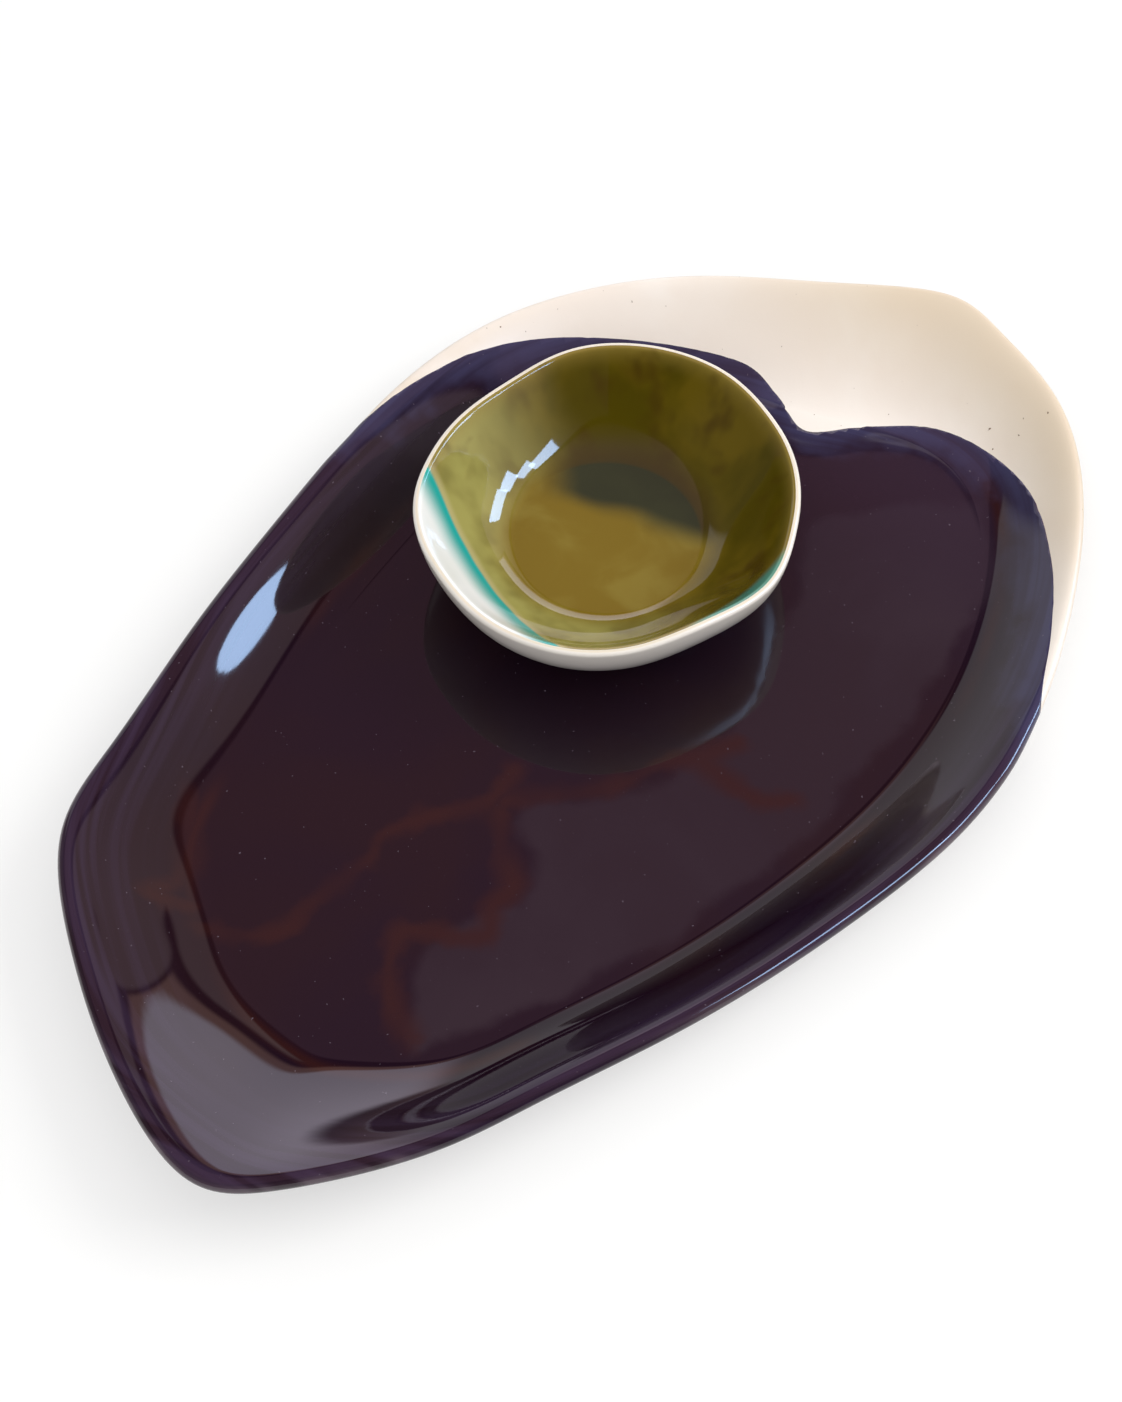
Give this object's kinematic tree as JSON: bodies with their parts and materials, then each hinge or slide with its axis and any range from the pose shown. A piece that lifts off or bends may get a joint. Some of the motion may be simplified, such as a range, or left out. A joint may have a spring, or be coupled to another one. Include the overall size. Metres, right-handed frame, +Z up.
{
  "type": "chip and dip platter",
  "caption": "Freeform oblong ceramic platter with a flat well and broad sloping rim, dipped in dark glaze, with a loose round dip bowl standing in it to serve chips with a dip.",
  "frame": {"origin": "on the table, under the middle of the platter's outline", "axes": "+X along the platter's length towards its bare end, +Y across it towards the bowl's side, +Z up"},
  "size_m": [0.4246, 0.261, 0.0471],
  "materials": {
    "clay_cream": "satin",
    "glaze_aubergine": "gloss",
    "porcelain_white": "satin",
    "glaze_olive": "gloss"
  },
  "bodies": {
    "platter": {"platter_body": "clay_cream", "platter_glaze": "glaze_aubergine"},
    "dip_bowl": {"dip_bowl_body": "porcelain_white", "dip_bowl_glaze": "glaze_olive"}
  },
  "joints": [
    {"name": "bowl_lift", "type": "slide", "parent": "platter", "child": "dip_bowl", "axis": [0, 0, 1], "range_m": [0, 0.06]}
  ]
}
